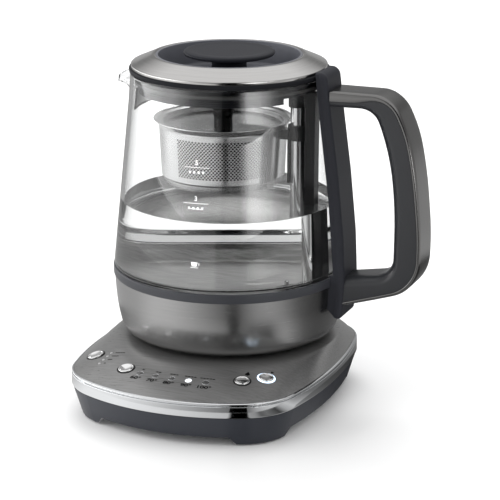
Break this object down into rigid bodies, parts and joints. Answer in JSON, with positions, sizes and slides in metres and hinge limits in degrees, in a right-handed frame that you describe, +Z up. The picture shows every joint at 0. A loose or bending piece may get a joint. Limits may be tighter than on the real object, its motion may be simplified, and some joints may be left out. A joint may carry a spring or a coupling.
{
  "type": "automatic tea maker",
  "caption": "Glass jug with a motor-lifted tea basket, lid, loop handle and pouring lip, standing on a power base with a domed control deck.",
  "frame": {"origin": "on the floor under the jug's axis, 1.5 mm below the flat face of the cord hub under the base", "axes": "+Z up; the controls face -Y; the handle points along +X and the pouring lip along -X"},
  "size_m": [0.2271, 0.2046, 0.2374],
  "materials": {
    "base_housing": "dark slate moulding, satin",
    "chrome_band": "polished",
    "deck_plate": "smoked, fine brushed grain",
    "temperature_leds": "clear light guide",
    "strength_leds": "clear light guide",
    "foot_pads": "matt",
    "base_cover": "fine spark texture",
    "cord_gland": "matt",
    "control_board": "green board",
    "power_board": "green board",
    "power_parts": "moulded cases",
    "button_switches": "moulded cases",
    "base_connector": "satin",
    "contact_rings": "bright",
    "cover_screws": "zinc plated",
    "strength_button": "spun cap",
    "tea_type_button": "spun cap",
    "hot_water_button": "spun cap",
    "start_button": "spun cap",
    "connector_cap": "satin",
    "glass_jug": "clear borosilicate",
    "jug_collar": "satin",
    "jug_shell": "smoked, brushed round",
    "floor_seal": "silicone",
    "heater_floor": "brushed",
    "heating_element": "cast",
    "jug_underplate": "satin",
    "jug_plug": "satin",
    "temperature_sensor": "drawn",
    "lift_motor": "zinc plated can",
    "guide_pole": "ground",
    "pole_foot": "polished",
    "guide_rail": "moulded",
    "pole_cap": "moulded",
    "spout_filter": "woven mesh in a frame",
    "handle_column": "satin",
    "handle_grip": "satin",
    "handle_strap": "smoked, brushed along",
    "column_bond": "silicone",
    "lift_screw": "rolled",
    "magnet_nut": "nickel plated",
    "tea_basket": "spun",
    "basket_carrier": "moulded",
    "basket_magnet": "nickel plated",
    "basket_lid": "spun",
    "basket_lid_knob": "satin",
    "lid_body": "moulded",
    "lid_bowl": "moulded",
    "lid_ring": "brushed round",
    "lid_knob": "satin",
    "lid_seal": "silicone",
    "knob_screw": "stainless"
  },
  "bodies": {
    "power_base": {"base_housing": "base_housing", "chrome_band": "chrome_band", "deck_plate": "deck_plate", "temperature_leds": "temperature_leds", "strength_leds": "strength_leds", "foot_pads": "foot_pads", "base_cover": "base_cover", "cord_gland": "cord_gland", "control_board": "control_board", "power_board": "power_board", "power_parts": "power_parts", "button_switches": "button_switches", "base_connector": "base_connector", "contact_rings": "contact_rings", "cover_screws": "cover_screws"},
    "strength_button": {"strength_button": "strength_button"},
    "tea_type_button": {"tea_type_button": "tea_type_button"},
    "hot_water_button": {"hot_water_button": "hot_water_button"},
    "start_button": {"start_button": "start_button"},
    "connector_cap": {"connector_cap": "connector_cap"},
    "jug": {"glass_jug": "glass_jug", "jug_collar": "jug_collar", "jug_shell": "jug_shell", "floor_seal": "floor_seal", "heater_floor": "heater_floor", "heating_element": "heating_element", "jug_underplate": "jug_underplate", "jug_plug": "jug_plug", "temperature_sensor": "temperature_sensor", "lift_motor": "lift_motor", "guide_pole": "guide_pole", "pole_foot": "pole_foot", "guide_rail": "guide_rail", "pole_cap": "pole_cap", "spout_filter": "spout_filter", "handle_column": "handle_column", "handle_grip": "handle_grip", "handle_strap": "handle_strap", "column_bond": "column_bond"},
    "lift_screw": {"lift_screw": "lift_screw"},
    "magnet_nut": {"magnet_nut": "magnet_nut"},
    "basket": {"tea_basket": "tea_basket", "basket_carrier": "basket_carrier", "basket_magnet": "basket_magnet"},
    "basket_lid": {"basket_lid": "basket_lid", "basket_lid_knob": "basket_lid_knob"},
    "lid": {"lid_body": "lid_body", "lid_bowl": "lid_bowl", "lid_ring": "lid_ring", "lid_knob": "lid_knob", "lid_seal": "lid_seal", "knob_screw": "knob_screw"}
  },
  "joints": [
    {"name": "jug_swivel", "type": "hinge", "parent": "power_base", "child": "connector_cap", "pos_m": [0, 0, 0.05], "axis": [0, 0, 1], "continuous": true},
    {"name": "jug_lift", "type": "slide", "parent": "connector_cap", "child": "jug", "axis": [0, 0, 1], "range_m": [0, 0.12]},
    {"name": "lid_lift", "type": "slide", "parent": "jug", "child": "lid", "axis": [0, 0, 1], "range_m": [0, 0.1]},
    {"name": "basket_lift", "type": "slide", "parent": "jug", "child": "basket", "axis": [0, 0, 1], "range_m": [-0.066, 0]},
    {"name": "magnet_nut_slide", "type": "slide", "parent": "jug", "child": "magnet_nut", "axis": [0, 0, 1], "range_m": [-0.0661, 0.0001]},
    {"name": "lift_screw_spin", "type": "hinge", "parent": "jug", "child": "lift_screw", "pos_m": [0.0493, 0, 0.07], "axis": [0, 0, 1], "range_deg": [-1982, 2]},
    {"name": "basket_lid_lift", "type": "slide", "parent": "basket", "child": "basket_lid", "axis": [0, 0, 1], "range_m": [0, 0.012]},
    {"name": "strength_press", "type": "slide", "parent": "power_base", "child": "strength_button", "axis": [0.2418, 0.138, -0.9605], "range_m": [0, 0.001], "stiffness_N_per_m": 300},
    {"name": "tea_type_press", "type": "slide", "parent": "power_base", "child": "tea_type_button", "axis": [0.0714, 0.2055, -0.9761], "range_m": [0, 0.001], "stiffness_N_per_m": 300},
    {"name": "hot_water_press", "type": "slide", "parent": "power_base", "child": "hot_water_button", "axis": [-0.095, 0.1845, -0.9782], "range_m": [0, 0.001], "stiffness_N_per_m": 300},
    {"name": "start_press", "type": "slide", "parent": "power_base", "child": "start_button", "axis": [-0.1664, 0.146, -0.9752], "range_m": [0, 0.001], "stiffness_N_per_m": 300}
  ],
  "couplings": [
    {"joint": "magnet_nut_slide", "follows": "basket_lift", "ratio": 1},
    {"joint": "lift_screw_spin", "follows": "basket_lift", "rad_per_m": 523.6}
  ]
}
